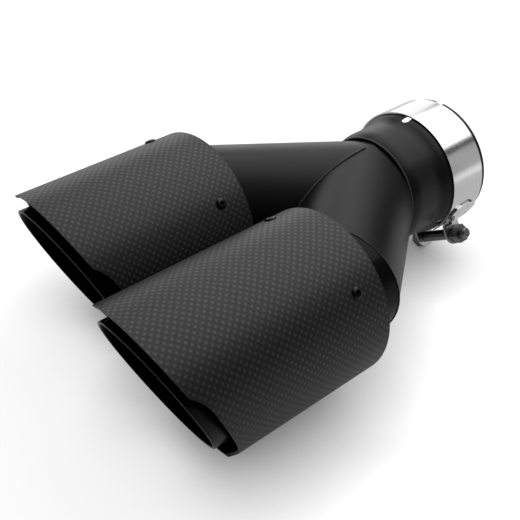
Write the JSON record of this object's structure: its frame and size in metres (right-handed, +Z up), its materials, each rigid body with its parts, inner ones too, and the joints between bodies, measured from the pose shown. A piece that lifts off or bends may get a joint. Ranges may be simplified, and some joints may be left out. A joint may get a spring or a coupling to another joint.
{
  "type": "twin exhaust tip",
  "caption": "Clamp-on exhaust tip with a Y pipe that splits one tailpipe into twin slash-cut outlets in woven carbon sleeves.",
  "frame": {"origin": "centre of the inlet's bore at its open rim", "axes": "+Y out of the inlet towards the tailpipe, the two outlets open towards -Y, +Z up, +X towards the longer outlet"},
  "size_m": [0.1832, 0.268, 0.0953],
  "materials": {
    "black_coat": "satin black coat on steel tube",
    "gloss_black": "gloss black coat on steel",
    "carbon": "matte woven carbon fibre in resin",
    "rivet_black": "black anodised blind rivets",
    "stainless": "polished stainless steel",
    "fastener": "dark zinc-plated steel"
  },
  "bodies": {
    "root": {"inlet_collector": "black_coat", "branch_right": "black_coat", "branch_left": "black_coat", "tip_body_right": "gloss_black", "tip_body_left": "gloss_black", "carbon_sleeve_right": "carbon", "carbon_sleeve_left": "carbon", "rivets_right": "rivet_black", "rivets_left": "rivet_black", "clamp_band": "stainless", "clamp_lug_right": "stainless", "clamp_lug_left": "stainless", "clamp_bolt": "fastener", "clamp_nut": "fastener", "clamp_washers": "fastener"}
  },
  "joints": []
}
